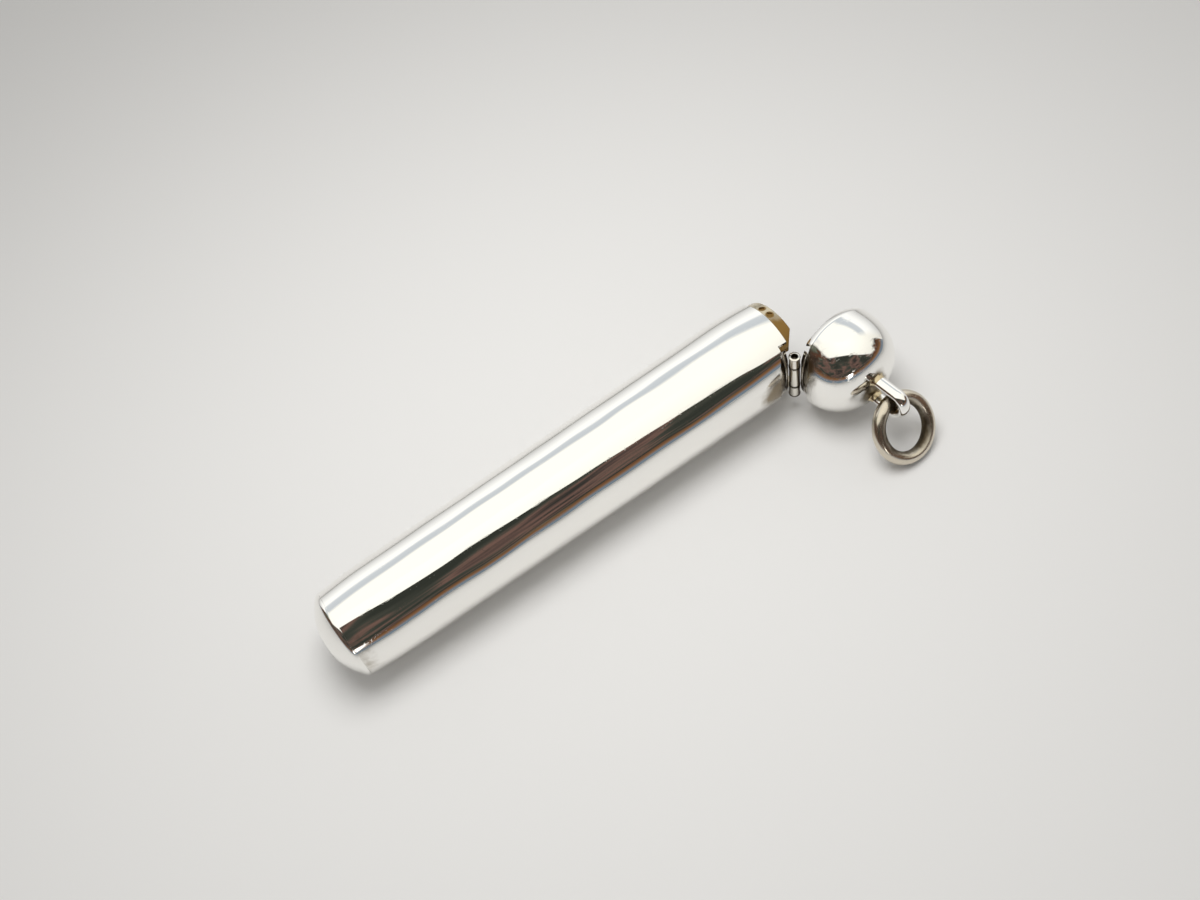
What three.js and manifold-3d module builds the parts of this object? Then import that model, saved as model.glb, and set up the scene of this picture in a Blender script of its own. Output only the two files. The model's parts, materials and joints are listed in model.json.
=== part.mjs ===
// Hinged silver needle case: a tapering round barrel with an inner collar, a domed cap on a three-knuckle
// hinge let into the wall, and a suspension loop with a jump ring. Millimetres. The case lies on its side
// with the cap open: +X runs along the barrel towards the mouth, +Z is up, the hinge pin stands upright.
import * as THREE from 'three';
import { mergeVertices } from 'three/addons/utils/BufferGeometryUtils.js';
import Module from 'manifold-3d';

const wasm = await Module();
wasm.setup();

// ---- Driving dimensions ----
const MOUTH_RADIUS = 6;
const BASE_RADIUS = 5.38;
const BARREL_LENGTH = 59.9; // mouth to the start of the rounded end
const BARREL_SWELL = 0.28; // how far the wall stands outside a straight line between its ends
const SWELL_EASE = 6; // it curves in over this length at each end
const WALL = 0.3;
const FIT_GAP = 0.05; // between soldered or sliding neighbours
const CUT_REACH = 14; // cutting shapes end beyond the widest wall
const ROUND_SEGMENTS = 48;

const END_EDGE_RADIUS = 0.8;
const END_DOME_ANGLE = THREE.MathUtils.degToRad(41.5); // slope of the dome where the rounded edge meets it
const END_FLAT_RADIUS = 1.8;
const END_SPIGOT = 1.2; // how far the end plate reaches into the tube

const COLLAR_HEIGHT = 1.55;
const COLLAR_DEPTH = 4.5;
const COLLAR_ROOT_RADIUS = 5.64;
const COLLAR_FOOT_RADIUS = 5.58;
const COLLAR_LIP_RADIUS = 5.46;
const COLLAR_INNER_RADIUS = 5.2;
const COLLAR_LIP_ROUND = 0.16;
const COLLAR_CUT_TOP = 2.35; // chords of the collar's slanted ends, above the mouth and at it
const COLLAR_CUT_FOOT = 4.1;
const COLLAR_BACKING_GAP = 0.25;

const CAP_HEIGHT = 7.74;
const CAP_BULGE_RADIUS = 6.38;
const CAP_BULGE_HEIGHT = 1; // where the cap is widest, above its rim
const CAP_POWER = 2.55; // superellipse power of the dome
const CAP_RIM_GAP = 0.06;
const CAP_OPEN = THREE.MathUtils.degToRad(86.5);

const HINGE_X = -0.2;
const HINGE_Y = -5.45;
const KNUCKLE_RADIUS = 0.72;
const BORE_RADIUS = 0.45;
const PIN_RADIUS = 0.38;
const KNUCKLE_SPAN = 7.1; // the three knuckles end to end
const MIDDLE_KNUCKLE = 3.4;
const KNUCKLE_GAP = 0.08;
const PIN_RECESS = 0.45; // pin end below the end of the knuckle
const SEAT_CLEARANCE = 0.06;

const PLATE_FRONT = 0.5; // half-moon plates lie between these two distances from the pin's axis
const PLATE_BACK = 1.05;
const PLATE_CHORD = 4.35;
const PLATE_ARC_RADIUS = 10.87;
const PLATE_ARC_CENTRE = 5.7;
const NOTCH_CHORD = 3.8; // the wall is cut away beyond this distance from the axis, at the plates
const BEVEL_SLOPE = 0.65;
const NOTCH_OVERLAP = 0.2; // the bevel's cutter runs this far into the notch
const BACKING_CHORD = 4.3;
const BACKING_LENGTH = 2.4;
const BARREL_BEVEL_REACH = 2.9; // how far the bevel runs from the pin's axis
const CAP_BEVEL_REACH = 3.4;

const LOOP_RISE = 4.35; // centre line of the loop above the top of the cap
const LOOP_HALF_SPAN = 1.6;
const LOOP_DROP = 0.31; // the loop sits this far below the middle of the cap
const LOOP_BOW_RISE = 1.35; // height of its curved top
const LOOP_WIDTH = 1.6;
const LOOP_THICKNESS = 0.94;
const LOOP_SINK = 0.6; // the feet start this far below the top of the cap

const RING_RADIUS = 3.66; // centre line
const RING_WIRE_RADIUS = 0.84;
const RING_HANG = 2.45; // the wire crosses the loop this far above the top of the cap
const RING_LEAN = THREE.MathUtils.degToRad(48); // ring plane against the table
const RING_YAW = THREE.MathUtils.degToRad(7.4);
const RING_SLIDE = -0.47; // along its own wire, through the loop

// ---- Shape tools ----
function solidOf(geometry) {
  geometry.deleteAttribute('normal');
  geometry.deleteAttribute('uv');
  const welded = mergeVertices(geometry, 1e-5);
  const corners = welded.index.array;
  const kept = [];
  for (let i = 0; i < corners.length; i += 3) {
    const [a, b, c] = [corners[i], corners[i + 1], corners[i + 2]];
    if (a !== b && b !== c && c !== a) kept.push(a, b, c);
  }
  const vertProperties = new Float32Array(welded.attributes.position.array);
  return new wasm.Manifold(new wasm.Mesh({ numProp: 3, vertProperties, triVerts: new Uint32Array(kept) }));
}

function geometryOf(solid) {
  const mesh = solid.getMesh();
  const geometry = new THREE.BufferGeometry();
  geometry.setAttribute('position', new THREE.BufferAttribute(mesh.vertProperties, 3));
  geometry.setIndex(new THREE.BufferAttribute(mesh.triVerts, 1));
  geometry.computeVertexNormals();
  return geometry;
}

// Turns a list of [x, radius] points about the X axis.
function revolve(profile, segments = ROUND_SEGMENTS) {
  const points = profile.map(([x, radius]) => new THREE.Vector2(radius, x));
  const onAxis = points[0].x === 0 && points[points.length - 1].x === 0;
  if (THREE.ShapeUtils.area(points) < 0) points.reverse();
  if (!onAxis) points.push(points[0].clone());
  return new THREE.LatheGeometry(points, segments).rotateZ(-Math.PI / 2);
}

// A hollow or full round bar along Z, between two heights.
function uprightBar(outer, inner, bottom, top, segments = 24) {
  const profile = [[bottom, inner], [bottom, outer], [top, outer], [top, inner]];
  return revolve(profile, segments).rotateY(-Math.PI / 2);
}

function box(xRange, yRange, zRange) {
  const size = [xRange, yRange, zRange].map(([low, high]) => high - low);
  const middle = [xRange, yRange, zRange].map(([low, high]) => (high + low) / 2);
  return new THREE.BoxGeometry(...size).translate(...middle);
}

const range = (count) => Array.from({ length: count + 1 }, (_, i) => i / count);
const sorted = (a, b) => [Math.min(a, b), Math.max(a, b)];

// ---- Barrel ----
const END_JOIN_RADIUS = BASE_RADIUS - END_EDGE_RADIUS * (1 - Math.sin(END_DOME_ANGLE));
const END_DOME_RADIUS = END_JOIN_RADIUS / Math.sin(END_DOME_ANGLE);
const END_EDGE_DEPTH = END_EDGE_RADIUS * Math.cos(END_DOME_ANGLE);

const eased = (distance) => 1 - (1 - Math.min(distance / SWELL_EASE, 1)) ** 2;

function barrelRadius(depth) {
  const straight = MOUTH_RADIUS + ((BASE_RADIUS - MOUTH_RADIUS) * depth) / BARREL_LENGTH;
  return straight + BARREL_SWELL * eased(depth) * eased(BARREL_LENGTH - depth);
}

// Everything that is cut away at the hinge: side is -1 on the barrel and 1 on the cap.
function hingeCut(side, reach) {
  const floor = PLATE_BACK + FIT_GAP;
  const edge = (x) => PLATE_ARC_RADIUS + (x - floor) * BEVEL_SLOPE;
  const corner = (x, radius) => [HINGE_X + side * x, radius];
  const front = floor - NOTCH_OVERLAP;
  const ring = [
    corner(front, edge(front)),
    corner(reach, edge(reach)),
    corner(reach, CUT_REACH),
    corner(front, CUT_REACH),
  ];
  const bevel = solidOf(revolve(ring, 2 * ROUND_SEGMENTS).translate(0, PLATE_ARC_CENTRE, 0));
  const across = [-CUT_REACH, CUT_REACH];
  const notch = solidOf(box(sorted(-side, HINGE_X + side * floor), [-CUT_REACH, -NOTCH_CHORD], across));
  return bevel.add(notch);
}

// A thickening behind the bevel, inside the wall.
function hingeBacking(side) {
  const floor = PLATE_BACK + FIT_GAP;
  const span = sorted(HINGE_X + side * floor, HINGE_X + side * (floor + BACKING_LENGTH));
  const radius = side < 0 ? MOUTH_RADIUS : CAP_BULGE_RADIUS - WALL / 2;
  const core = solidOf(revolve([[span[0], 0], [span[0], radius], [span[1], radius], [span[1], 0]]));
  const across = [-CUT_REACH, CUT_REACH];
  return core.intersect(solidOf(box(across, [-CUT_REACH, -BACKING_CHORD], across)));
}

function barrelShape() {
  const front = range(6).map((t) => SWELL_EASE * t);
  const back = front.map((depth) => BARREL_LENGTH - depth).reverse();
  const outer = [...front, ...back].map((depth) => [-depth, barrelRadius(depth)]);
  const inner = outer.map(([x, radius]) => [x, radius - WALL]).reverse();
  const tube = solidOf(revolve([...outer, ...inner]));
  return geometryOf(tube.add(hingeBacking(-1)).subtract(hingeCut(-1, BARREL_BEVEL_REACH)));
}

// The closed end from its rounded edge to the middle, drawn in by an inset.
function endOutline(inset, middleRadius) {
  const start = -BARREL_LENGTH - FIT_GAP;
  const edgeRadius = END_EDGE_RADIUS - inset;
  const edge = range(5).map((t) => {
    const angle = t * (Math.PI / 2 - END_DOME_ANGLE);
    const radius = BASE_RADIUS - END_EDGE_RADIUS + edgeRadius * Math.cos(angle);
    return [start - edgeRadius * Math.sin(angle), radius];
  });
  const domeRadius = END_DOME_RADIUS - inset;
  const domeCentre = start - END_EDGE_DEPTH + END_DOME_RADIUS * Math.cos(END_DOME_ANGLE);
  const lastAngle = Math.asin(middleRadius / domeRadius);
  const dome = range(3).slice(1).map((t) => {
    const angle = END_DOME_ANGLE + (lastAngle - END_DOME_ANGLE) * t;
    return [domeCentre - domeRadius * Math.cos(angle), domeRadius * Math.sin(angle)];
  });
  return [...edge, ...dome];
}

function baseShape() {
  const spigotRadius = BASE_RADIUS - WALL - FIT_GAP;
  const mouth = -BARREL_LENGTH - FIT_GAP + END_SPIGOT;
  const outer = endOutline(0, END_FLAT_RADIUS);
  const flat = [outer[outer.length - 1][0], 0];
  const inner = endOutline(2 * WALL + FIT_GAP, 0).reverse();
  const spigot = [[mouth, spigotRadius - WALL], [mouth, spigotRadius], [outer[0][0], spigotRadius]];
  return revolve([...inner, ...spigot, ...outer, flat]);
}

// The collar stands proud of the mouth and slopes down to the wall on both sides of the hinge.
function collarShape() {
  const profile = [
    [-COLLAR_DEPTH, COLLAR_INNER_RADIUS],
    [COLLAR_HEIGHT - COLLAR_LIP_ROUND / 2, COLLAR_INNER_RADIUS],
    [COLLAR_HEIGHT, COLLAR_INNER_RADIUS + COLLAR_LIP_ROUND / 2],
    [COLLAR_HEIGHT - COLLAR_LIP_ROUND, COLLAR_LIP_RADIUS],
    [0, COLLAR_ROOT_RADIUS],
    [-COLLAR_DEPTH, COLLAR_FOOT_RADIUS],
  ];
  const above = COLLAR_HEIGHT + COLLAR_BACKING_GAP;
  const backingEnd = HINGE_X - PLATE_BACK - BACKING_LENGTH - COLLAR_BACKING_GAP;
  const outline = [
    [above, -COLLAR_CUT_TOP],
    [FIT_GAP, -COLLAR_CUT_FOOT],
    [backingEnd, -COLLAR_CUT_FOOT],
    [backingEnd, -CUT_REACH],
    [above, -CUT_REACH],
  ];
  const shape = new THREE.Shape(outline.map(([x, y]) => new THREE.Vector2(x, y)));
  const cutter = new THREE.ExtrudeGeometry(shape, { depth: 2 * CUT_REACH, bevelEnabled: false });
  cutter.translate(0, 0, -CUT_REACH);
  return geometryOf(solidOf(revolve(profile)).subtract(solidOf(cutter)));
}

// ---- Hinge ----
const hingeSeat = () => {
  const reach = KNUCKLE_SPAN / 2 + SEAT_CLEARANCE;
  const seat = uprightBar(KNUCKLE_RADIUS + SEAT_CLEARANCE, 0, -reach, reach, 32);
  return solidOf(seat.translate(HINGE_X, HINGE_Y, 0));
};

// Half-moon plate, standing across the barrel.
function jointPlateShape(side) {
  const tipAngle = Math.acos((PLATE_ARC_CENTRE + PLATE_CHORD) / PLATE_ARC_RADIUS);
  const outline = new THREE.Shape();
  outline.absarc(PLATE_ARC_CENTRE, 0, PLATE_ARC_RADIUS, Math.PI - tipAngle, Math.PI + tipAngle, false);
  const depth = PLATE_BACK - PLATE_FRONT;
  const plate = new THREE.ExtrudeGeometry(outline, { depth, bevelEnabled: false, curveSegments: 14 });
  const [y, z, x] = [new THREE.Vector3(0, 1, 0), new THREE.Vector3(0, 0, 1), new THREE.Vector3(1, 0, 0)];
  plate.applyMatrix4(new THREE.Matrix4().makeBasis(y, z, x));
  plate.translate(HINGE_X + (side > 0 ? PLATE_FRONT : -PLATE_BACK), 0, 0);
  return geometryOf(solidOf(plate).subtract(hingeSeat()));
}

const knuckleShape = (bottom, top) => {
  return uprightBar(KNUCKLE_RADIUS, BORE_RADIUS, bottom, top).translate(HINGE_X, HINGE_Y, 0);
};

const pinShape = () => {
  const reach = KNUCKLE_SPAN / 2 - PIN_RECESS;
  return uprightBar(PIN_RADIUS, 0, -reach, reach).translate(HINGE_X, HINGE_Y, 0);
};

// ---- Cap, in its closed place ----
// Its outline from the rim to the top, drawn in by an inset.
function capOutline(inset) {
  const bulge = range(4).map((t) => {
    const swell = (CAP_BULGE_RADIUS - MOUTH_RADIUS) * Math.sin((Math.PI / 2) * t);
    return [CAP_RIM_GAP + (CAP_BULGE_HEIGHT - CAP_RIM_GAP) * t, MOUTH_RADIUS - inset + swell];
  });
  const dome = range(12).slice(1).map((t) => {
    const angle = (Math.PI / 2) * t;
    const height = CAP_HEIGHT - inset - CAP_BULGE_HEIGHT;
    const radius = t === 1 ? 0 : (CAP_BULGE_RADIUS - inset) * Math.cos(angle) ** (2 / CAP_POWER);
    return [CAP_BULGE_HEIGHT + height * Math.sin(angle) ** (2 / CAP_POWER), radius];
  });
  return [...bulge, ...dome];
}

function capShape() {
  const shell = solidOf(revolve([...capOutline(0).reverse(), ...capOutline(WALL)]));
  return geometryOf(shell.add(hingeBacking(1)).subtract(hingeCut(1, CAP_BEVEL_REACH)));
}

function loopShape() {
  const foot = CAP_HEIGHT - LOOP_SINK;
  const shoulder = CAP_HEIGHT + LOOP_RISE - LOOP_BOW_RISE;
  const path = new THREE.CatmullRomCurve3([
    new THREE.Vector3(foot, 0, LOOP_HALF_SPAN),
    new THREE.Vector3(shoulder, 0, LOOP_HALF_SPAN),
    ...range(6).slice(1, -1).map((t) => new THREE.Vector3(
      shoulder + LOOP_BOW_RISE * Math.sin(Math.PI * t), 0, LOOP_HALF_SPAN * Math.cos(Math.PI * t))),
    new THREE.Vector3(shoulder, 0, -LOOP_HALF_SPAN),
    new THREE.Vector3(foot, 0, -LOOP_HALF_SPAN),
  ]);
  const section = new THREE.Shape();
  section.absellipse(0, 0, LOOP_THICKNESS / 2, LOOP_WIDTH / 2, 0, 2 * Math.PI, false, 0);
  const strap = new THREE.ExtrudeGeometry(section, { steps: 28, extrudePath: path, curveSegments: 8 });
  strap.translate(0, 0, -LOOP_DROP);
  const capSolid = solidOf(revolve([...capOutline(-FIT_GAP), [CAP_RIM_GAP, 0]].reverse()));
  return geometryOf(solidOf(strap).subtract(capSolid));
}

const ringShape = () => new THREE.TorusGeometry(RING_RADIUS, RING_WIRE_RADIUS, 12, 36);

// ---- Materials ----
function metal(color, roughness) {
  return new THREE.MeshStandardMaterial({ color, roughness, metalness: 1 });
}
const silver = metal('#d3d0c9', 0.12);
const wornSilver = metal('#b9b3a4', 0.25);
const tarnishedSilver = metal('#a88e60', 0.35);
const darkSilver = metal('#6f6657', 0.22);

function part(name, geometry, material) {
  const mesh = new THREE.Mesh(geometry, material);
  mesh.name = name;
  return mesh;
}

// ---- Assembly ----
const half = MIDDLE_KNUCKLE / 2;
const endKnuckle = [half + KNUCKLE_GAP, KNUCKLE_SPAN / 2];

const barrelGroup = new THREE.Group();
barrelGroup.add(
  part('barrel', barrelShape(), silver),
  part('base_end', baseShape(), silver),
  part('mouth_collar', collarShape(), tarnishedSilver),
  part('barrel_joint_plate', jointPlateShape(-1), wornSilver),
  part('barrel_knuckle_top', knuckleShape(endKnuckle[0], endKnuckle[1]), wornSilver),
  part('barrel_knuckle_bottom', knuckleShape(-endKnuckle[1], -endKnuckle[0]), wornSilver),
  part('hinge_pin', pinShape(), wornSilver),
);

const capGroup = new THREE.Group();
const capParts = [
  part('cap', capShape(), silver),
  part('cap_joint_plate', jointPlateShape(1), wornSilver),
  part('cap_knuckle', knuckleShape(-half, half), wornSilver),
  part('suspension_loop', loopShape(), wornSilver),
];
for (const mesh of capParts) mesh.position.set(-HINGE_X, -HINGE_Y, 0);
capGroup.add(...capParts);
capGroup.position.set(HINGE_X, HINGE_Y, 0);
capGroup.rotation.z = -CAP_OPEN;

// The case rests on the barrel's underside and on the bulge of the open cap.
const capSideways = Math.abs(HINGE_Y) + CAP_BULGE_HEIGHT;
const lying = new THREE.Group();
lying.add(barrelGroup, capGroup);
lying.rotation.x = -Math.asin((CAP_BULGE_RADIUS - MOUTH_RADIUS - BARREL_SWELL) / capSideways);
lying.rotation.y = -Math.atan((MOUTH_RADIUS - BASE_RADIUS) / BARREL_LENGTH);
lying.position.z = -new THREE.Box3().setFromObject(lying, true).min.z;
lying.updateMatrixWorld(true);

// The ring hangs in the loop and leans down to the table.
const hang = capParts[0].localToWorld(new THREE.Vector3(CAP_HEIGHT + RING_HANG, 0, 0));
const ring = part('jump_ring', ringShape(), darkSilver);
ring.rotation.set(RING_LEAN, 0, RING_YAW, 'ZYX');
const downhill = new THREE.Vector3(RING_SLIDE, -RING_RADIUS, 0).applyEuler(ring.rotation);
const ringHeight = RING_RADIUS * Math.sin(RING_LEAN) + RING_WIRE_RADIUS;
ring.position.set(hang.x + downhill.x, hang.y + downhill.y, ringHeight);

const needleCase = new THREE.Group();
needleCase.add(lying, ring);
const middle = new THREE.Box3().setFromObject(needleCase, true).getCenter(new THREE.Vector3());
needleCase.position.set(-middle.x, -middle.y, 0);

export default needleCase;
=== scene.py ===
# Looks for the hinged silver needle case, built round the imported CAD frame. Metres; helper shapes in mm.
import json
import math

import bmesh
import bpy
from mathutils import Matrix, Vector


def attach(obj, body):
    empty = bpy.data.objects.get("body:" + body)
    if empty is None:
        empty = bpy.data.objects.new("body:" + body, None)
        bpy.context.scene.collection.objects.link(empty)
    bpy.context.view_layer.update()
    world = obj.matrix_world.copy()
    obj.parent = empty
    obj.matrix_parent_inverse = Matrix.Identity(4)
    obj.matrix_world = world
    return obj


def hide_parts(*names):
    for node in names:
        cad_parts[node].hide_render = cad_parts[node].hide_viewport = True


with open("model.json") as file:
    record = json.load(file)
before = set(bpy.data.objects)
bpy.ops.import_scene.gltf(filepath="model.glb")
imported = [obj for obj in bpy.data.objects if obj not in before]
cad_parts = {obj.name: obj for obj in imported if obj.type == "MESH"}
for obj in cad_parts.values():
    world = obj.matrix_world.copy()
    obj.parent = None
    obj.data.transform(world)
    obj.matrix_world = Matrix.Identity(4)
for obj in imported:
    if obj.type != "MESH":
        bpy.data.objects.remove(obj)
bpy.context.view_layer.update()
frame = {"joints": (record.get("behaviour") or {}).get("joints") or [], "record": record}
MM = 0.001

# ---- The object's dimensions, as in the CAD source, in mm ----
MOUTH_RADIUS = 6
BASE_RADIUS = 5.38
BARREL_LENGTH = 59.9
BARREL_SWELL = 0.28
SWELL_EASE = 6
WALL = 0.3
FIT_GAP = 0.05
CUT_REACH = 14
END_EDGE_RADIUS = 0.8
END_DOME_ANGLE = math.radians(41.5)
END_FLAT_RADIUS = 1.8
END_SPIGOT = 1.2
COLLAR_HEIGHT = 1.55
COLLAR_DEPTH = 4.5
COLLAR_INNER_RADIUS = 5.2
COLLAR_LIP_RADIUS = 5.46
COLLAR_ROOT_RADIUS = 5.64
COLLAR_FOOT_RADIUS = 5.58
COLLAR_CUT_TOP = 2.35
COLLAR_CUT_FOOT = 4.1
COLLAR_BACKING_GAP = 0.25
CAP_HEIGHT = 7.74
CAP_BULGE_RADIUS = 6.38
CAP_BULGE_HEIGHT = 1
CAP_POWER = 2.55
CAP_RIM_GAP = 0.06
HINGE_X = -0.2
HINGE_Y = -5.45
KNUCKLE_RADIUS = 0.72
BORE_RADIUS = 0.45
PIN_RADIUS = 0.38
KNUCKLE_SPAN = 7.1
MIDDLE_KNUCKLE = 3.4
KNUCKLE_GAP = 0.08
PIN_RECESS = 0.45
SEAT_CLEARANCE = 0.06
PLATE_FRONT = 0.5
PLATE_BACK = 1.05
PLATE_CHORD = 4.35
PLATE_ARC_RADIUS = 10.87
PLATE_ARC_CENTRE = 5.7
NOTCH_CHORD = 3.8
BEVEL_SLOPE = 0.65
NOTCH_OVERLAP = 0.2
BACKING_CHORD = 4.3
BACKING_LENGTH = 2.4
BARREL_BEVEL_REACH = 2.9
CAP_BEVEL_REACH = 3.4
LOOP_RISE = 4.35
LOOP_HALF_SPAN = 1.6
LOOP_DROP = 0.31
LOOP_BOW_RISE = 1.35
LOOP_WIDTH = 1.6
LOOP_THICKNESS = 0.94
LOOP_SINK = 0.6
RING_RADIUS = 3.66
RING_WIRE_RADIUS = 0.84
PLATE_FLOOR = PLATE_BACK + FIT_GAP

# ---- Details that only the visual has, in mm ----
MOUTH_LIP_ROUND = 0.09
END_FLAT_CROWN = 0.0005  # the flat rises by this much per step towards its middle
COLLAR_SLOPE_TOP = 0.85  # share of the collar's height where its slope begins
COLLAR_SLOPE_POWER = 0.8
COLLAR_MARKS = [math.radians(106), math.radians(91)]
MARK_X = 0.75
MARK_WIDTH = 0.95
MARK_HEIGHT = 0.8
MARK_DEPTH = 0.12
MARK_RISE = 0.05  # the slope at the marks stands this far outside the lip
PLATE_EDGE = 0.06
KNUCKLE_EDGE = 0.07
PIN_EDGE = 0.09
SOLDER_SKIRT = ((0.0, 0.34), (0.08, 0.22), (0.2, 0.12), (0.38, 0.05), (0.6, 0.012))  # (height, spread)
SOLDER_SIDES = 48
SOLDER_SINK = 0.05
RING_SECTIONS = 160
RING_JOIN = math.radians(118)  # where the soldered ends of the ring's wire meet
JOIN_SWELL = 0.03
JOIN_REACH = 0.5

# ---- Settings of the shape tools ----
ROUND = 192  # segments of a large round shape
BAR_ROUND = 96  # and of a thin bar
WELD = 1e-5  # closer points become one
ON_AXIS = 1e-9  # a smaller radius is a pole
SLOPE_STEP = 0.1
TRUE_NORMAL_LIMIT = math.cos(math.radians(12))  # a face turned further from the true normal keeps its own
ON_DOME = 0.985  # points with less than this in the dome's equation lie on a cut, not on its outside

# ---- Where the bodies are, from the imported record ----
joints = {j["name"]: j for j in frame["joints"]}
mounts = {m["name"]: m for m in frame["record"]["mounts"]}


def placed(x_axis, z_axis, origin):
    """A matrix from mm in a local frame to metres in the part's frame."""
    z = z_axis.normalized()
    x = (x_axis - z * x_axis.dot(z)).normalized()
    turn = Matrix((x, z.cross(x), z)).transposed().to_4x4()
    return Matrix.Translation(origin) @ turn @ Matrix.Scale(MM, 4)


lid = joints["lid_hinge"]
pin_axis = Vector(lid["axis"])
pin_point = Vector(lid["pos_m"])
barrel_x = -Vector(mounts["base_end"]["axis"])
at_pin = placed(barrel_x, pin_axis, pin_point)
to_barrel = Matrix.Translation((-HINGE_X, -HINGE_Y, 0))
BARREL = at_pin @ to_barrel
CAP = at_pin @ Matrix.Rotation(-math.radians(lid["range_deg"][1]), 4, "Z") @ to_barrel

swing = joints["ring_swing"]
downhill = Vector(mounts["suspension_ring"]["axis"])
wire_axis = Vector(swing["axis"])
ring_inside = RING_RADIUS - RING_WIRE_RADIUS
ring_centre = Vector(mounts["suspension_ring"]["pos_m"]) - downhill.normalized() * ring_inside * MM
RING = placed(wire_axis, wire_axis.cross(-downhill), ring_centre)


# ---- Shape tools ----
def eased(distance):
    return 1 - (1 - min(distance / SWELL_EASE, 1)) ** 2


def barrel_radius(depth):
    straight = MOUTH_RADIUS + (BASE_RADIUS - MOUTH_RADIUS) * depth / BARREL_LENGTH
    return straight + BARREL_SWELL * eased(depth) * eased(BARREL_LENGTH - depth)


def steps(count):
    return [i / count for i in range(count + 1)]


def mesh_of(name, vertices, faces):
    mesh = bpy.data.meshes.new(name)
    mesh.from_pydata(vertices, [], faces)
    made = bmesh.new()
    made.from_mesh(mesh)
    bmesh.ops.remove_doubles(made, verts=made.verts, dist=WELD)
    bmesh.ops.recalc_face_normals(made, faces=made.faces)
    made.to_mesh(mesh)
    made.free()
    piece = bpy.data.objects.new(name, mesh)
    bpy.context.scene.collection.objects.link(piece)
    return piece


def revolved(name, profile, segments=ROUND):
    """Turns a closed list of (x, radius) points about the X axis."""
    vertices, faces = [], []
    count = len(profile)
    pole = [radius < ON_AXIS for _, radius in profile]
    for s in range(segments):
        angle = 2 * math.pi * s / segments
        vertices += [(x, -r * math.cos(angle), r * math.sin(angle)) for x, r in profile]
    for s in range(segments):
        here, there = s * count, (s + 1) % segments * count
        for i in range(count):
            j = (i + 1) % count
            corners = [here + i, here + j, there + j, there + i]
            if pole[i] and pole[j]:
                continue
            if pole[i]:
                corners = [here + i, here + j, there + j]
            elif pole[j]:
                corners = [here + i, here + j, there + i]
            faces.append(corners)
    return mesh_of(name, vertices, faces)


def upright(piece):
    """Turns a shape made about X to stand along Z."""
    piece.data.transform(Matrix.Rotation(-math.pi / 2, 4, "Y"))
    return piece


def boxed(name, low, high):
    vertices = [(x, y, z) for x in (low[0], high[0]) for y in (low[1], high[1]) for z in (low[2], high[2])]
    faces = [(0, 1, 3, 2), (4, 6, 7, 5), (0, 4, 5, 1), (2, 3, 7, 6), (0, 2, 6, 4), (1, 5, 7, 3)]
    return mesh_of(name, vertices, faces)


def extruded(name, outline, low, high):
    """A prism of (x, y) points, between two heights along Z."""
    count = len(outline)
    vertices = [(x, y, z) for z in (low, high) for x, y in outline]
    sides = [(i, (i + 1) % count, (i + 1) % count + count, i + count) for i in range(count)]
    return mesh_of(name, vertices, [tuple(range(count)), tuple(range(count, 2 * count)), *sides])


def combine(piece, other, operation):
    """A boolean of two meshes; the other one is used up."""
    change = piece.modifiers.new("combine", "BOOLEAN")
    change.object = other
    change.operation = operation
    change.solver = "EXACT"
    bpy.context.view_layer.update()
    solid = piece.evaluated_get(bpy.context.evaluated_depsgraph_get())
    mesh = bpy.data.meshes.new_from_object(solid)
    piece.modifiers.clear()
    piece.data = mesh
    bpy.data.objects.remove(other)
    return piece


def round_edges(piece, width):
    """Rounds the crisp edges of a mesh."""
    made = bmesh.new()
    made.from_mesh(piece.data)
    limit = math.radians(35)
    edges = [e for e in made.edges if len(e.link_faces) == 2 and e.calc_face_angle() > limit]
    bmesh.ops.bevel(made, geom=edges, offset=width, segments=3, profile=0.5, affect="EDGES",
                    clamp_overlap=True)
    made.to_mesh(piece.data)
    made.free()


def smooth(piece, true_normal=None, angle=28):
    """Smooth shading with crisp edges; faces that lie on a known surface take its true normals."""
    mesh = piece.data
    for face in mesh.polygons:
        face.use_smooth = True
    mesh.set_sharp_from_angle(angle=math.radians(angle))
    if true_normal is None:
        return piece
    corner_normals = [Vector(c.vector) for c in mesh.corner_normals]
    for face in mesh.polygons:
        for corner in face.loop_indices:
            place = mesh.vertices[mesh.loops[corner].vertex_index].co
            ideal = true_normal(place)
            if ideal is not None and ideal.dot(face.normal) > TRUE_NORMAL_LIMIT:
                corner_normals[corner] = ideal
    mesh.normals_split_custom_set([n[:] for n in corner_normals])
    return piece


def finished(piece, placing, body, material, slot, *nodes):
    """Puts a piece in its place, gives it its material and ties it to the frame."""
    piece.data.transform(placing)
    piece.data.materials.clear()
    piece.data.materials.append(material)
    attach(piece, body)
    if nodes:
        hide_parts(*nodes)


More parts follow.
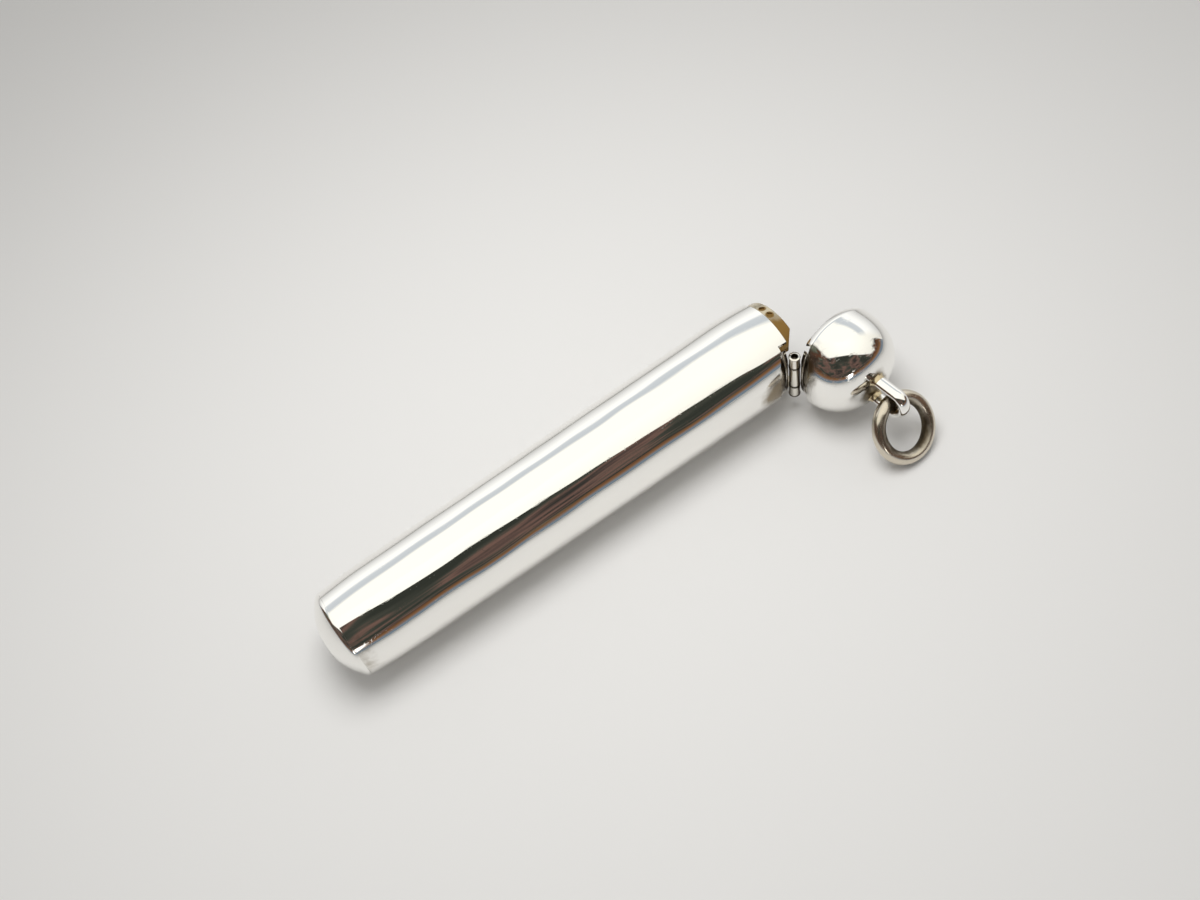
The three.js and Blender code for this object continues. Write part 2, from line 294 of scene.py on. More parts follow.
# ---- Materials ----
class Nodes:
    """Short names for building a node tree."""

    def __init__(self, tree):
        self.tree = tree

    def add(self, kind, sockets=None, **settings):
        node = self.tree.nodes.new(kind)
        for key, value in settings.items():
            setattr(node, key, value)
        for key, value in (sockets or {}).items():
            if isinstance(value, bpy.types.NodeSocket):
                self.tree.links.new(value, node.inputs[key])
            else:
                node.inputs[key].default_value = value
        return node

    def noise(self, vector, scale, detail, rough):
        sockets = {"Vector": vector, "Scale": scale, "Detail": detail, "Roughness": rough}
        return self.add("ShaderNodeTexNoise", sockets).outputs["Fac"]

    def stretched(self, vector, scale):
        return self.add("ShaderNodeMapping", {"Vector": vector, "Scale": scale}).outputs[0]

    def ramp(self, value, *stops, smooth_steps=False):
        """Stops are (place, colour or grey)."""
        node = self.add("ShaderNodeValToRGB", {"Fac": value})
        node.color_ramp.interpolation = "EASE" if smooth_steps else "LINEAR"
        elements = node.color_ramp.elements
        for spare in list(elements)[1:]:
            elements.remove(spare)
        for index, (place, colour) in enumerate(stops):
            element = elements[0] if index == 0 else elements.new(place)
            element.position = place
            if not isinstance(colour, tuple):
                colour = (colour, colour, colour)
            element.color = (*colour, 1)
        return node.outputs["Color"]

    def math(self, operation, first, second=0.0, clamp=False):
        node = self.add("ShaderNodeMath", {0: first, 1: second}, operation=operation, use_clamp=clamp)
        return node.outputs[0]

    def mix(self, share, first, second):
        node = self.add("ShaderNodeMix", data_type="RGBA")
        for index, value in ((0, share), (6, first), (7, second)):
            if isinstance(value, bpy.types.NodeSocket):
                self.tree.links.new(value, node.inputs[index])
            else:
                node.inputs[index].default_value = value if index == 0 else (*value, 1)
        return node.outputs[2]


BLOTCH_SCALE = 420.0
CLOUD_SCALE = 110.0
STAIN_SHADE_START, STAIN_SHADE_FULL = 0.44, 0.72
STAIN_SHADE_ROUGHNESS = 0.26
SCRATCH_ROUGHNESS = 0.1
LONG_SCRATCHES = (160.0, 4200.0, 4200.0)
CROSS_SCRATCHES = (4600.0, 420.0, 2600.0)
WAVES = (90.0, 210.0, 210.0)
RECESS_REACH = 0.0012
FINE_RELIEF = 0.00004


def silver(name, bright, tarnish_and_shade, amount, roughness, wobble, scratches, near=(), recess_shade=0.0):
    """Silver with fine scratches, small stains, tarnish over a share of it, and painted shade.

    wobble is the height of its broad waves. near lists (point, reach, strength): the colour darkens there,
    painted shade in a corner or crease, with tarnish on solder. The recess setting darkens what ambient
    occlusion finds hidden: painted shade, with tarnish. Lengths are in metres."""
    material = bpy.data.materials.new(name)
    material.use_nodes = True
    nodes = Nodes(material.node_tree)
    shader = material.node_tree.nodes["Principled BSDF"]
    place = nodes.add("ShaderNodeTexCoord").outputs["Object"]

    blotch = nodes.noise(place, BLOTCH_SCALE, 5.0, 0.62)
    cloud = nodes.noise(place, CLOUD_SCALE, 4.0, 0.6)
    mottled = nodes.math("ADD", nodes.math("MULTIPLY", blotch, 0.45), nodes.math("MULTIPLY", cloud, 0.55))
    level = nodes.math("ADD", mottled, amount - 0.5)
    # Around each near point the colour darkens: painted shade in a corner or crease, with tarnish.
    for point, reach, strength in near:
        span = nodes.add("ShaderNodeVectorMath", {0: place, 1: point}, operation="DISTANCE")
        share = nodes.math("DIVIDE", span.outputs["Value"], reach)
        fade = nodes.math("SUBTRACT", 1.0, share, clamp=True)
        level = nodes.math("ADD", level, nodes.math("MULTIPLY", fade, strength))
    # Ambient occlusion darkens the hollows: painted shade, with tarnish.
    if recess_shade:
        open_share = nodes.add("ShaderNodeAmbientOcclusion", {"Distance": RECESS_REACH}, samples=8)
        occluded_shade = nodes.ramp(open_share.outputs["AO"], (0.35, 1.0), (0.85, 0.0))
        level = nodes.math("ADD", level, nodes.math("MULTIPLY", occluded_shade, recess_shade))
    # This mask holds both the random tarnish and the painted shade.
    stain_and_shade = nodes.ramp(level, (STAIN_SHADE_START, 0.0), (STAIN_SHADE_FULL, 1.0), smooth_steps=True)
    colour = nodes.mix(stain_and_shade, bright, tarnish_and_shade)
    nodes.tree.links.new(colour, shader.inputs["Base Color"])
    shader.inputs["Metallic"].default_value = 1.0

    long_way = nodes.stretched(place, LONG_SCRATCHES)
    cross_way = nodes.stretched(place, CROSS_SCRATCHES)
    scratch_a = nodes.ramp(nodes.noise(long_way, 1.0, 4.0, 0.7), (0.6, 0.0), (0.74, 1.0))
    scratch_b = nodes.ramp(nodes.noise(cross_way, 1.0, 4.0, 0.7), (0.62, 0.0), (0.76, 1.0))
    scratch = nodes.math("MAXIMUM", scratch_a, scratch_b)
    rough = nodes.math("ADD", nodes.math("MULTIPLY", stain_and_shade, STAIN_SHADE_ROUGHNESS), roughness)
    rough = nodes.math("ADD", rough, nodes.math("MULTIPLY", scratch, SCRATCH_ROUGHNESS * scratches))
    nodes.tree.links.new(rough, shader.inputs["Roughness"])

    height = nodes.math("MULTIPLY", scratch, -scratches)
    height = nodes.math("ADD", height, nodes.math("MULTIPLY", blotch, 0.05 + 0.5 * amount))
    fine = nodes.add("ShaderNodeBump", {"Height": height, "Strength": 0.12, "Distance": FINE_RELIEF})
    swell = nodes.noise(nodes.stretched(place, WAVES), 1.0, 1.0, 0.4)
    broad = nodes.add("ShaderNodeBump", {"Height": swell, "Strength": 1.0, "Distance": wobble,
                                         "Normal": fine.outputs[0]})
    nodes.tree.links.new(broad.outputs[0], shader.inputs["Normal"])
    return material


BRIGHT = (0.93, 0.92, 0.89)
GOLD_BROWN = (0.36, 0.22, 0.085)
DARK_BROWN = (0.085, 0.062, 0.04)
GREY_BROWN = (0.3, 0.25, 0.18)

# Where the silver is darkened: painted shade in creases, corners and hollows, with tarnish
hinge_mid = BARREL @ Vector((HINGE_X, HINGE_Y, 0))
loop_foot = CAP @ Vector((CAP_HEIGHT, 0, LOOP_HALF_SPAN - LOOP_DROP))
far_foot = CAP @ Vector((CAP_HEIGHT, 0, -LOOP_HALF_SPAN - LOOP_DROP))
collar_end = BARREL @ Vector((COLLAR_HEIGHT * 0.5, -COLLAR_CUT_TOP - 0.8, COLLAR_ROOT_RADIUS * 0.8))
near_hinge = BARREL @ Vector((-3, -5.5, 0))
cap_seam = CAP @ Vector((1.6, -4.5, 3.2))
base_middle = BARREL @ Vector((-BARREL_LENGTH, -3.5, 1))
mark_points = [BARREL @ Vector((MARK_X, -COLLAR_LIP_RADIUS * math.cos(a), COLLAR_LIP_RADIUS * math.sin(a)))
               for a in COLLAR_MARKS]

# Darker by the hinge: painted shade in its crease. Darker near the base end: painted shade with tarnish.
barrel_silver = silver("barrel_silver", BRIGHT, GREY_BROWN, 0.08, 0.03, 0.00016, 0.35,
                       [(near_hinge, 0.0048, 0.85), (base_middle, 0.009, 0.45)])
end_silver = silver("end_silver", BRIGHT, (0.45, 0.41, 0.33), 0.2, 0.1, 0.00003, 0.8)
# Darker by the hinge, at the cap's seam, round the loop's feet and in hollows: painted shade, with tarnish
# on the seam and solder.
cap_silver = silver("cap_silver", BRIGHT, (0.2, 0.16, 0.1), 0.1, 0.04, 0.00014, 1.1,
                    [(hinge_mid, 0.0066, 0.72), (loop_foot, 0.0036, 0.75), (far_foot, 0.0036, 0.75),
                     (cap_seam, 0.004, 0.6)], recess_shade=0.4)
# Darker towards the cut end, in the stamped marks and in hollows: painted shade, with tarnish.
collar_silver = silver("collar_silver", (0.6, 0.53, 0.39), (0.27, 0.16, 0.05), 0.18, 0.2, 0.00002, 1.0,
                       [(collar_end, 0.007, 0.7), *((p, 0.00062, 0.8) for p in mark_points)],
                       recess_shade=0.5)
# Hinge and pin darken in their hollows: painted shade, with tarnish.
hinge_silver = silver("hinge_silver", (0.86, 0.83, 0.76), DARK_BROWN, 0.24, 0.12, 0.00001, 0.9, recess_shade=0.9)
pin_silver = silver("pin_silver", (0.5, 0.46, 0.38), DARK_BROWN, 0.3, 0.3, 0.0, 1.0, recess_shade=0.4)
# Darker at its feet and in hollows: painted shade, with tarnish by the solder.
loop_silver = silver("loop_silver", BRIGHT, GOLD_BROWN, 0.02, 0.06, 0.00002, 0.7,
                     [(loop_foot, 0.002, 0.4), (far_foot, 0.002, 0.5)], recess_shade=0.6)
# Its hollows darken: painted shade, with tarnish.
solder_silver = silver("solder_silver", (0.6, 0.5, 0.33), (0.13, 0.09, 0.05), 0.18, 0.24, 0.00002, 1.0,
                       recess_shade=0.4)
# Darker towards its middle, on the wire's inner wall: painted shade; its hollows take painted shade too.
ring_silver = silver("ring_silver", (0.66, 0.6, 0.5), (0.1, 0.078, 0.05), 0.22, 0.2, 0.00003, 1.2,
                     [(ring_centre, 0.0044, 1.6)], recess_shade=0.5)


# ---- Barrel ----
def hinge_cut(side, reach):
    """What the seat of the hinge takes from the wall; side is -1 on the barrel and 1 on the cap."""
    front = PLATE_FLOOR - NOTCH_OVERLAP
    ring = [(HINGE_X + side * x, r) for x, r in (
        (front, PLATE_ARC_RADIUS + (front - PLATE_FLOOR) * BEVEL_SLOPE),
        (reach, PLATE_ARC_RADIUS + (reach - PLATE_FLOOR) * BEVEL_SLOPE),
        (reach, CUT_REACH),
        (front, CUT_REACH),
    )]
    bevel = revolved("bevel", ring, 2 * ROUND)
    bevel.data.transform(Matrix.Translation((0, PLATE_ARC_CENTRE, 0)))
    low, high = sorted((-side, HINGE_X + side * PLATE_FLOOR))
    notch = boxed("notch", (low, -CUT_REACH, -CUT_REACH), (high, -NOTCH_CHORD, CUT_REACH))
    return combine(bevel, notch, "UNION")


def hinge_backing(side):
    low, high = sorted((HINGE_X + side * PLATE_FLOOR, HINGE_X + side * (PLATE_FLOOR + BACKING_LENGTH)))
    radius = MOUTH_RADIUS if side < 0 else CAP_BULGE_RADIUS - WALL / 2
    core = revolved("backing", [(low, 0), (low, radius), (high, radius), (high, 0)])
    part = boxed("part", (low - 1, -CUT_REACH, -CUT_REACH), (high + 1, -BACKING_CHORD, CUT_REACH))
    return combine(core, part, "INTERSECT")


def barrel_normal(place):
    """The outward normal of the wall, at a point of its outside."""
    radius = math.hypot(place.y, place.z)
    depth = -place.x
    if not 0.001 < depth < BARREL_LENGTH + 0.001:
        return None
    slope = (barrel_radius(depth - SLOPE_STEP) - barrel_radius(depth + SLOPE_STEP)) / (2 * SLOPE_STEP)
    outward = Vector((-slope, place.y / radius, place.z / radius)).normalized()
    return outward if radius > barrel_radius(depth) - WALL / 2 else None


mouth_round = [(-MOUTH_LIP_ROUND * (1 - math.cos(a * math.pi / 2)),
                -MOUTH_LIP_ROUND * (1 - math.sin(a * math.pi / 2))) for a in steps(4)]
outer = [(x, MOUTH_RADIUS + r) for x, r in mouth_round]
outer += [(-BARREL_LENGTH * t, barrel_radius(BARREL_LENGTH * t)) for t in steps(48)[1:]]
inner = [(x, r - WALL) for x, r in reversed([(0, MOUTH_RADIUS), *outer[len(mouth_round):]])]
barrel = revolved("barrel_shell", outer + inner)
combine(barrel, hinge_backing(-1), "UNION")
combine(barrel, hinge_cut(-1, BARREL_BEVEL_REACH), "DIFFERENCE")
smooth(barrel, barrel_normal)
finished(barrel, BARREL, "barrel", barrel_silver, "polished_silver", "barrel")


# ---- Closed end ----
def end_outline(inset, middle_radius, count):
    start = -BARREL_LENGTH - FIT_GAP
    edge_radius = END_EDGE_RADIUS - inset
    points = []
    for t in steps(count):
        angle = t * (math.pi / 2 - END_DOME_ANGLE)
        radius = BASE_RADIUS - END_EDGE_RADIUS + edge_radius * math.cos(angle)
        points.append((start - edge_radius * math.sin(angle), radius))
    join = BASE_RADIUS - END_EDGE_RADIUS * (1 - math.sin(END_DOME_ANGLE))
    full = join / math.sin(END_DOME_ANGLE)
    centre = start - END_EDGE_RADIUS * math.cos(END_DOME_ANGLE) + full * math.cos(END_DOME_ANGLE)
    last = math.asin(middle_radius / (full - inset))
    for t in steps(count)[1:]:
        angle = END_DOME_ANGLE + (last - END_DOME_ANGLE) * t
        points.append((centre - (full - inset) * math.cos(angle), (full - inset) * math.sin(angle)))
    return points


spigot_radius = BASE_RADIUS - WALL - FIT_GAP
spigot_end = -BARREL_LENGTH - FIT_GAP + END_SPIGOT
outer = end_outline(0, END_FLAT_RADIUS, 16)
flat_x = outer[-1][0]
flat = [(flat_x - END_FLAT_CROWN * i, END_FLAT_RADIUS * (1 - i / 3)) for i in (1, 2)] + [(flat_x, 0)]
inner = end_outline(2 * WALL + FIT_GAP, 0, 12)[::-1]
spigot = [(spigot_end, spigot_radius - WALL), (spigot_end, spigot_radius), (outer[0][0], spigot_radius)]
end = revolved("base_dome", [*inner, *spigot, *outer, *flat])
smooth(end, angle=34)
finished(end, BARREL, "barrel", end_silver, "polished_silver", "base_end")

# ---- Collar ----
lip = COLLAR_LIP_RADIUS - COLLAR_INNER_RADIUS
profile = [(-COLLAR_DEPTH, COLLAR_INNER_RADIUS)]
profile += [(COLLAR_HEIGHT - lip / 2 * (1 - math.sin(a)), COLLAR_INNER_RADIUS + lip / 2 * (1 - math.cos(a)))
            for a in (math.pi * t for t in steps(8))]
profile += [(COLLAR_HEIGHT * (COLLAR_SLOPE_TOP - COLLAR_SLOPE_TOP * t),
             COLLAR_LIP_RADIUS + (COLLAR_ROOT_RADIUS - COLLAR_LIP_RADIUS) * t ** COLLAR_SLOPE_POWER)
            for t in steps(8)]
profile += [(-COLLAR_DEPTH, COLLAR_FOOT_RADIUS)]
collar = revolved("collar_sleeve", profile)
above = COLLAR_HEIGHT + COLLAR_BACKING_GAP
backing_end = HINGE_X - PLATE_BACK - BACKING_LENGTH - COLLAR_BACKING_GAP
outline = [(above, -COLLAR_CUT_TOP), (FIT_GAP, -COLLAR_CUT_FOOT), (backing_end, -COLLAR_CUT_FOOT),
           (backing_end, -CUT_REACH), (above, -CUT_REACH)]
combine(collar, extruded("slant", outline, -CUT_REACH, CUT_REACH), "DIFFERENCE")
lozenge = [(-MARK_HEIGHT / 2, 0), (0, -MARK_WIDTH / 2), (MARK_HEIGHT / 2, 0), (0, MARK_WIDTH / 2)]
for mark_angle in COLLAR_MARKS:
    mark = extruded("mark", lozenge, COLLAR_LIP_RADIUS + MARK_RISE - MARK_DEPTH, COLLAR_LIP_RADIUS + 1)
    mark.data.transform(Matrix.Translation((MARK_X, 0, 0)))
    mark.data.transform(Matrix.Rotation(math.pi / 2 - mark_angle, 4, "X"))
    combine(collar, mark, "DIFFERENCE")
smooth(collar)
finished(collar, BARREL, "barrel", collar_silver, "tarnished_silver", "mouth_collar")


# ---- Hinge ----
def seat():
    reach = KNUCKLE_SPAN / 2 + SEAT_CLEARANCE
    radius = KNUCKLE_RADIUS + SEAT_CLEARANCE
    bar = upright(revolved("seat", [(-reach, 0), (-reach, radius), (reach, radius), (reach, 0)], BAR_ROUND))
    bar.data.transform(Matrix.Translation((HINGE_X, HINGE_Y, 0)))
    return bar


def joint_plate(name, side):
    tip = math.acos((PLATE_ARC_CENTRE + PLATE_CHORD) / PLATE_ARC_RADIUS)
    arc = [(PLATE_ARC_CENTRE - PLATE_ARC_RADIUS * math.cos(tip * (2 * t - 1)),
            PLATE_ARC_RADIUS * math.sin(tip * (2 * t - 1))) for t in steps(64)]
    plate = extruded(name, arc, PLATE_FRONT, PLATE_BACK)
    yzx = Matrix(((0, 0, 1, 0), (1, 0, 0, 0), (0, 1, 0, 0), (0, 0, 0, 1)))
    plate.data.transform(yzx)
    if side < 0:
        plate.data.transform(Matrix.Diagonal((-1, 1, 1, 1)))
        plate.data.flip_normals()
    plate.data.transform(Matrix.Translation((HINGE_X, 0, 0)))
    round_edges(plate, PLATE_EDGE)
    combine(plate, seat(), "DIFFERENCE")
    return smooth(plate)


def knuckle(name, bottom, top, outer_radius, inner_radius, edge):
    turns = [math.pi / 2 * t for t in steps(4)]
    arc = [(edge * (1 - math.sin(a)), edge * (1 - math.cos(a))) for a in turns]
    lower = [(bottom + h, outer_radius - r) for r, h in reversed(arc)]
    upper = [(top - h, outer_radius - r) for r, h in arc]
    profile = [(bottom, inner_radius), *lower, *upper, (top, inner_radius)]
    bar = upright(revolved(name, profile, BAR_ROUND))
    bar.data.transform(Matrix.Translation((HINGE_X, HINGE_Y, 0)))
    return smooth(bar, angle=40)


half = MIDDLE_KNUCKLE / 2
tips = (half + KNUCKLE_GAP, KNUCKLE_SPAN / 2)
pin_end = KNUCKLE_SPAN / 2 - PIN_RECESS
pipe = (KNUCKLE_RADIUS, BORE_RADIUS, KNUCKLE_EDGE)
for piece, placing, body, node, finish in (
    (joint_plate("barrel_half_moon", -1), BARREL, "barrel", "barrel_joint_plate", hinge_silver),
    (joint_plate("cap_half_moon", 1), CAP, "cap", "cap_joint_plate", hinge_silver),
    (knuckle("knuckle_top", *tips, *pipe), BARREL, "barrel", "barrel_knuckle_top", hinge_silver),
    (knuckle("knuckle_bottom", -tips[1], -tips[0], *pipe), BARREL, "barrel", "barrel_knuckle_bottom",
     hinge_silver),
    (knuckle("knuckle_middle", -half, half, *pipe), CAP, "cap", "cap_knuckle", hinge_silver),
    (knuckle("pin_bar", -pin_end, pin_end, PIN_RADIUS, 0, PIN_EDGE), BARREL, "barrel", "hinge_pin",
     pin_silver),
):
    finished(piece, placing, body, finish, "worn_silver", node)


# ---- Cap, made in its closed place ----
def cap_outline(inset, count):
    bulge = [(CAP_RIM_GAP + (CAP_BULGE_HEIGHT - CAP_RIM_GAP) * t,
              MOUTH_RADIUS - inset + (CAP_BULGE_RADIUS - MOUTH_RADIUS) * math.sin(math.pi / 2 * t))
             for t in steps(12)]
    dome = []
    for t in steps(count)[1:]:
        angle = math.pi / 2 * t
        height = (CAP_HEIGHT - inset - CAP_BULGE_HEIGHT) * math.sin(angle) ** (2 / CAP_POWER)
        radius = 0 if t == 1 else (CAP_BULGE_RADIUS - inset) * math.cos(angle) ** (2 / CAP_POWER)
        dome.append((CAP_BULGE_HEIGHT + height, radius))
    return bulge + dome


def cap_normal(place):
    """The outward normal of the dome, at a point of its outside."""
    radius = math.hypot(place.y, place.z)
    height = place.x - CAP_BULGE_HEIGHT
    if radius < 1e-6:
        return Vector((1, 0, 0))
    if height < 0:
        return None
    across = radius / CAP_BULGE_RADIUS
    along = height / (CAP_HEIGHT - CAP_BULGE_HEIGHT)
    if across ** CAP_POWER + along ** CAP_POWER < ON_DOME:
        return None
    outward = across ** (CAP_POWER - 1) / CAP_BULGE_RADIUS
    upward = along ** (CAP_POWER - 1) / (CAP_HEIGHT - CAP_BULGE_HEIGHT)
    return Vector((upward, outward * place.y / radius, outward * place.z / radius)).normalized()


cap = revolved("cap_shell", cap_outline(0, 56) + cap_outline(WALL, 40)[::-1])
combine(cap, hinge_backing(1), "UNION")
combine(cap, hinge_cut(1, CAP_BEVEL_REACH), "DIFFERENCE")
smooth(cap, cap_normal)
finished(cap, CAP, "cap", cap_silver, "polished_silver", "cap")


# ---- Loop and ring ----
def tube(name, path, sizes, across, closed=False, sides=40):
    """Sweeps an ellipse; sizes are (half thickness, half width), and across is the width's direction."""
    vertices, faces = [], []
    count = len(path)
    for i, (point, (thick, wide)) in enumerate(zip(path, sizes)):
        ahead = path[(i + 1) % count] if closed or i < count - 1 else point
        behind = path[i - 1] if closed or i > 0 else point
        out = (ahead - behind).normalized().cross(across).normalized()
        for s in range(sides):
            angle = 2 * math.pi * s / sides
            vertices.append(point + out * thick * math.cos(angle) + across * wide * math.sin(angle))
    for i in range(count if closed else count - 1):
        for s in range(sides):
            here, there = i * sides, (i + 1) % count * sides
            after = (s + 1) % sides
            faces.append((here + s, here + after, there + after, there + s))
    if not closed:
        faces += [tuple(range(sides)), tuple(range((count - 1) * sides, count * sides))]
    return mesh_of(name, vertices, faces)


def loop_path():
    """The centre line: up one leg, over the bow, down the other."""
    shoulder = CAP_HEIGHT + LOOP_RISE - LOOP_BOW_RISE
    foot = CAP_HEIGHT - LOOP_SINK
    leg = [Vector((foot + (shoulder - foot) * t, 0, LOOP_HALF_SPAN)) for t in steps(14)]
    turns = [math.pi * t for t in steps(40)[1:-1]]
    bow = [Vector((shoulder + LOOP_BOW_RISE * math.sin(a), 0, LOOP_HALF_SPAN * math.cos(a))) for a in turns]
    return leg + bow + [Vector((p.x, 0, -p.z)) for p in reversed(leg)]


path = loop_path()
sizes = [(LOOP_THICKNESS / 2, LOOP_WIDTH / 2)] * len(path)
loop = tube("loop_strap", path, sizes, Vector((0, 1, 0)))
loop.data.transform(Matrix.Translation((0, 0, -LOOP_DROP)))
seam = FIT_GAP * 0.6
cap_side = [(x, r + seam) for x, r in cap_outline(0, 56)][:-1]
cap_solid = revolved("cap_solid", [*cap_side, (CAP_HEIGHT + seam, 0), (CAP_RIM_GAP, 0)])
combine(loop, cap_solid, "DIFFERENCE")
smooth(loop, angle=50)
finished(loop, CAP, "cap", loop_silver, "worn_silver", "suspension_loop")


def solder_fillet(name, z):
    """A low skirt of solder round a foot of the loop."""
    vertices, faces = [], []
    for height, spread in SOLDER_SKIRT:
        for s in range(SOLDER_SIDES):
            angle = 2 * math.pi * s / SOLDER_SIDES
            lump = 1 + 0.14 * math.sin(3 * angle + z) + 0.08 * math.sin(7 * angle)
            y = (LOOP_WIDTH / 2 + spread * lump) * math.sin(angle)
            up = (LOOP_THICKNESS / 2 + spread * lump) * math.cos(angle) + z
            share = min(0.999, math.hypot(y, up) / CAP_BULGE_RADIUS)
            rise = (1 - share ** CAP_POWER) ** (1 / CAP_POWER)
            dome = CAP_BULGE_HEIGHT + (CAP_HEIGHT - CAP_BULGE_HEIGHT) * rise
            vertices.append((dome + height - SOLDER_SINK, y, up))
    last = (len(SOLDER_SKIRT) - 1) * SOLDER_SIDES
    for here in range(0, last, SOLDER_SIDES):
        above = here + SOLDER_SIDES
        for s in range(SOLDER_SIDES):
            after = (s + 1) % SOLDER_SIDES
            faces.append((here + s, here + after, above + after, above + s))
    faces += [tuple(range(SOLDER_SIDES)), tuple(range(last, last + SOLDER_SIDES))]
    return smooth(mesh_of(name, vertices, faces), angle=60)


for name, side in (("solder_foot_near", 1), ("solder_foot_far", -1)):
    foot = solder_fillet(name, side * LOOP_HALF_SPAN - LOOP_DROP)
    finished(foot, CAP, "cap", solder_silver, "tarnished_silver")

ring_points = []
ring_sizes = []
for s in range(RING_SECTIONS):
    angle = 2 * math.pi * s / RING_SECTIONS
    off = math.remainder(angle - RING_JOIN, 2 * math.pi) * RING_RADIUS
    thick = RING_WIRE_RADIUS - JOIN_SWELL * (1 - math.exp(-((off / JOIN_REACH) ** 2)))
    ring_points.append(Vector((RING_RADIUS * math.cos(angle), RING_RADIUS * math.sin(angle), 0)))
    ring_sizes.append((thick, thick))
ring = tube("ring_wire", ring_points, ring_sizes, Vector((0, 0, 1)), closed=True, sides=48)
smooth(ring, angle=60)
finished(ring, RING, "ring", ring_silver, "dark_silver", "jump_ring")

# ---- Room: a pale table, a bright ceiling, and the dim side of the room in front ----
TABLE_REACH = 1.5
table = boxed("table", (-TABLE_REACH, -TABLE_REACH, -0.01), (TABLE_REACH, TABLE_REACH, 0))
paper = bpy.data.materials.new("paper")
paper.use_nodes = True
surface = paper.node_tree.nodes["Principled BSDF"].inputs
surface["Base Color"].default_value = (0.8, 0.79, 0.77, 1)
surface["Roughness"].default_value = 0.9
surface["Specular IOR Level"].default_value = 0.1
table.data.materials.append(paper)

SOFT_LIGHT = (0.458, 0.456, 0.449)  # what lights the table
FAR_WALL = (0.5, 0.5, 0.49)  # what the camera sees past it
WINDOW_DIRECTION = Vector((-0.29, -0.94, 0.17)).normalized()
WINDOW_EDGE, WINDOW_FULL = 0.9955, 0.9975  # cosines of the angles from its middle
WINDOW_LIGHT = (6.0, 6.0, 5.8)
SKYLINE = ((-148, 0), (-136, 44), (-100, 46), (-60, 50), (-20, 44), (10, 38), (34, 26), (50, 20), (54, 28),
           (74, 24), (80, 0))  # top of the dim side, (bearing, height) in degrees
world = bpy.data.worlds.new("room")
bpy.context.scene.world = world
world.use_nodes = True
room = Nodes(world.node_tree)
for node in list(world.node_tree.nodes):
    world.node_tree.nodes.remove(node)
direction = room.add("ShaderNodeTexCoord").outputs["Generated"]
parts = room.add("ShaderNodeSeparateXYZ", {0: direction})
forward = room.math("MULTIPLY", parts.outputs["Y"], -1.0)
azimuth = room.math("DIVIDE", room.math("ARCTAN2", parts.outputs["X"], forward), 2 * math.pi)
azimuth = room.math("ADD", azimuth, 0.5)
elevation = room.math("DIVIDE", room.math("ARCSINE", parts.outputs["Z"]), math.pi / 2)


def bearing(degrees):
    return 0.5 + degrees / 360


def height(degrees):
    return degrees / 90


ragged = room.math("MULTIPLY", room.math("SUBTRACT", room.noise(direction, 5.0, 4.0, 0.6), 0.5), 0.16)
skyline = room.ramp(azimuth, *((bearing(a), height(h)) for a, h in SKYLINE))
below = room.math("SUBTRACT", room.math("ADD", skyline, ragged), elevation)
dim = room.ramp(below, (0.0, 0.0), (0.05, 1.0))

patches = room.noise(room.stretched(direction, (3.0, 3.0, 7.0)), 1.0, 3.0, 0.55)
clutter = room.ramp(
    patches,
    (0.3, (0.018, 0.018, 0.016)),
    (0.42, (0.045, 0.035, 0.024)),
    (0.48, (0.15, 0.06, 0.035)),
    (0.53, (0.05, 0.04, 0.03)),
    (0.6, (0.17, 0.19, 0.14)),
    (0.68, (0.03, 0.028, 0.022)),
)
rim = room.ramp(elevation, (height(3), (0.17, 0.22, 0.27)), (height(8), (0.22, 0.11, 0.05)),
                (height(15), (0.1, 0.05, 0.03)))
low_part = room.ramp(elevation, (height(9), 1.0), (height(18), 0.0))
clutter = room.mix(low_part, clutter, rim)

walls = room.ramp(
    elevation,
    (0.0, (0.62, 0.62, 0.61)),
    (height(12), (0.86, 0.86, 0.85)),
    (height(24), (1.08, 1.08, 1.06)),
    (height(34), (1.15, 1.15, 1.12)),
    (height(39), (0.66, 0.7, 0.74)),
    (height(49), (0.62, 0.66, 0.7)),
    (height(55), (1.16, 1.14, 1.06)),
    (height(90), (1.16, 1.14, 1.06)),
)
near_side = room.ramp(azimuth, (bearing(-140), 0.0), (bearing(-126), 1.0), (bearing(78), 1.0),
                      (bearing(95), 0.0))
ceiling = room.ramp(elevation, (0.0, (0.8, 0.78, 0.72)), (height(50), (1.1, 1.08, 0.99)),
                    (height(80), (1.2, 1.18, 1.1)))
lit = room.mix(near_side, walls, ceiling)
lit = room.mix(dim, lit, clutter)
spot = room.add("ShaderNodeVectorMath", {0: direction, 1: WINDOW_DIRECTION}, operation="DOT_PRODUCT")
glint = room.ramp(spot.outputs["Value"], (WINDOW_EDGE, 0.0), (WINDOW_FULL, 1.0))
shown = room.mix(glint, lit, WINDOW_LIGHT)
kind_of_ray = room.add("ShaderNodeLightPath").outputs
colour = room.mix(kind_of_ray["Is Glossy Ray"], SOFT_LIGHT, shown)
colour = room.mix(kind_of_ray["Is Camera Ray"], colour, FAR_WALL)
background = room.add("ShaderNodeBackground", {"Color": colour, "Strength": 1.0})
room.add("ShaderNodeOutputWorld", {"Surface": background.outputs[0]})

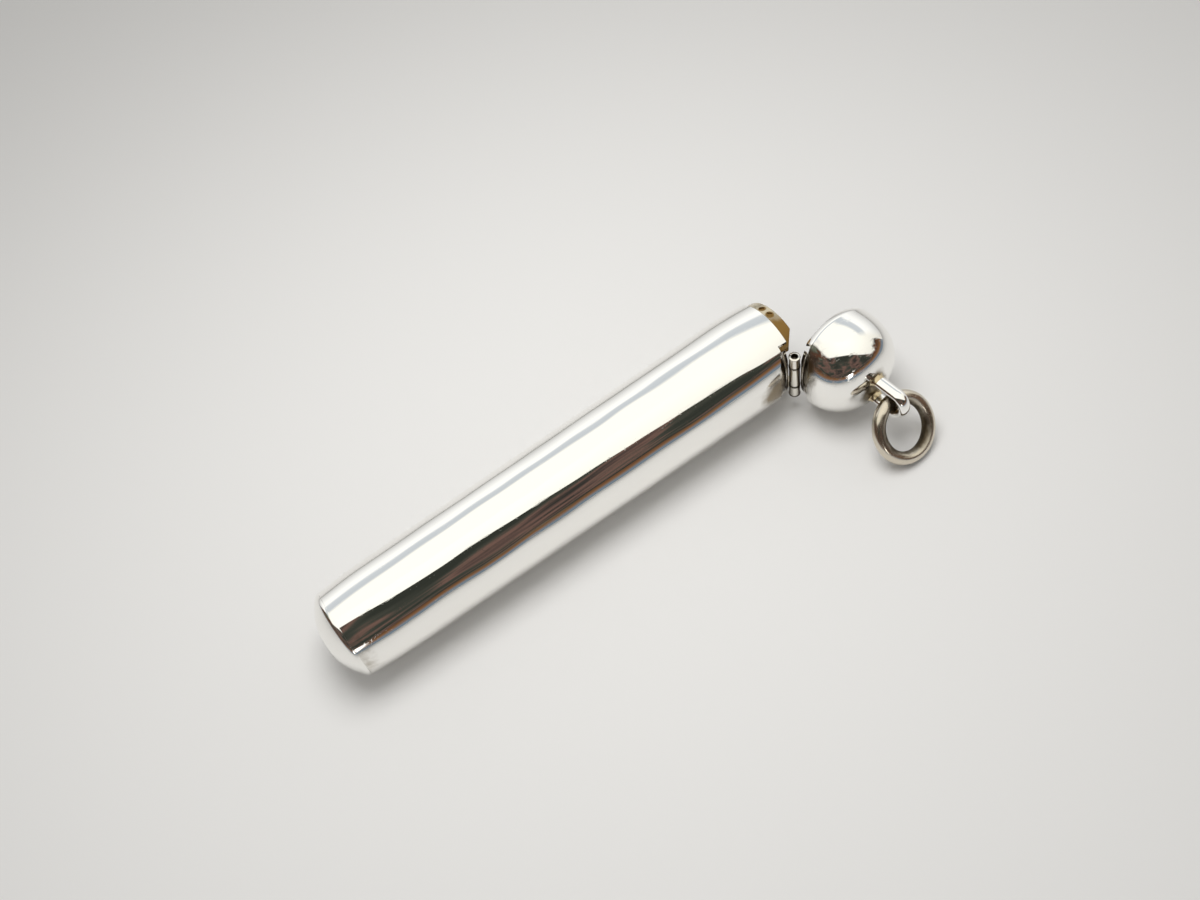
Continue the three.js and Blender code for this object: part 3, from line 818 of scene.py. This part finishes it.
# A dark card above the front of the table, which only reflections show
CARD_HEIGHT = 0.12
CARD_OUTLINE = ((-0.35, 0.15), (-0.032, -0.042), (0.022, -0.076), (0.06, -0.112), (0.1, -0.146),
                (0.3, -0.3), (0.3, -0.45), (-0.35, -0.45))
card = mesh_of("card", [(x, y, CARD_HEIGHT) for x, y in CARD_OUTLINE], [tuple(range(len(CARD_OUTLINE)))])
card.visible_camera = card.visible_diffuse = card.visible_shadow = card.visible_transmission = False
card_look = bpy.data.materials.new("card")
card_look.use_nodes = True
card_nodes = Nodes(card_look.node_tree)
card_look.node_tree.nodes.remove(card_look.node_tree.nodes["Principled BSDF"])
where = card_nodes.add("ShaderNodeTexCoord").outputs["Object"]
shade = card_nodes.ramp(
    card_nodes.noise(where, 11.0, 2.0, 0.45),
    (0.38, (0.034, 0.037, 0.03)),
    (0.48, (0.055, 0.057, 0.046)),
    (0.55, (0.17, 0.1, 0.08)),
    (0.6, (0.1, 0.065, 0.055)),
    (0.66, (0.035, 0.034, 0.03)),
)
glow = card_nodes.add("ShaderNodeEmission", {"Color": shade})
output = [n for n in card_look.node_tree.nodes if n.type == "OUTPUT_MATERIAL"][0]
card_look.node_tree.links.new(glow.outputs[0], output.inputs["Surface"])
card.data.materials.append(card_look)

LAMP_PLACE = Vector((0.004, 0.02, 0.15))
LAMP_SIZE = 0.1
LAMP_POWER = 0.145
light = bpy.data.lights.new("softbox", "AREA")
light.shape = "DISK"
light.size = LAMP_SIZE
light.energy = LAMP_POWER
lamp = bpy.data.objects.new("softbox", light)
lamp.location = LAMP_PLACE
lamp.rotation_euler = (-LAMP_PLACE).to_track_quat("-Z", "Y").to_euler()
lamp.visible_glossy = False
lamp.visible_camera = False
bpy.context.scene.collection.objects.link(lamp)

# ---- Camera ----
camera_data = bpy.data.cameras.new("camera")
camera_data.lens = 33.0
camera_data.sensor_width = 36.0
camera_data.clip_start = 0.01
camera_data.clip_end = 20
camera = bpy.data.objects.new("camera", camera_data)
CAMERA_PLACE = (-0.0293, -0.0579, 0.11328)
right = Vector((0.808303, -0.574452, -0.12904))
up = Vector((0.540762, 0.637667, 0.548596))
turn = Matrix((right, up, right.cross(up))).transposed().to_4x4()
camera.matrix_world = Matrix.Translation(CAMERA_PLACE) @ turn
bpy.context.scene.collection.objects.link(camera)
bpy.context.scene.camera = camera
bpy.context.scene.view_settings.view_transform = "Standard"
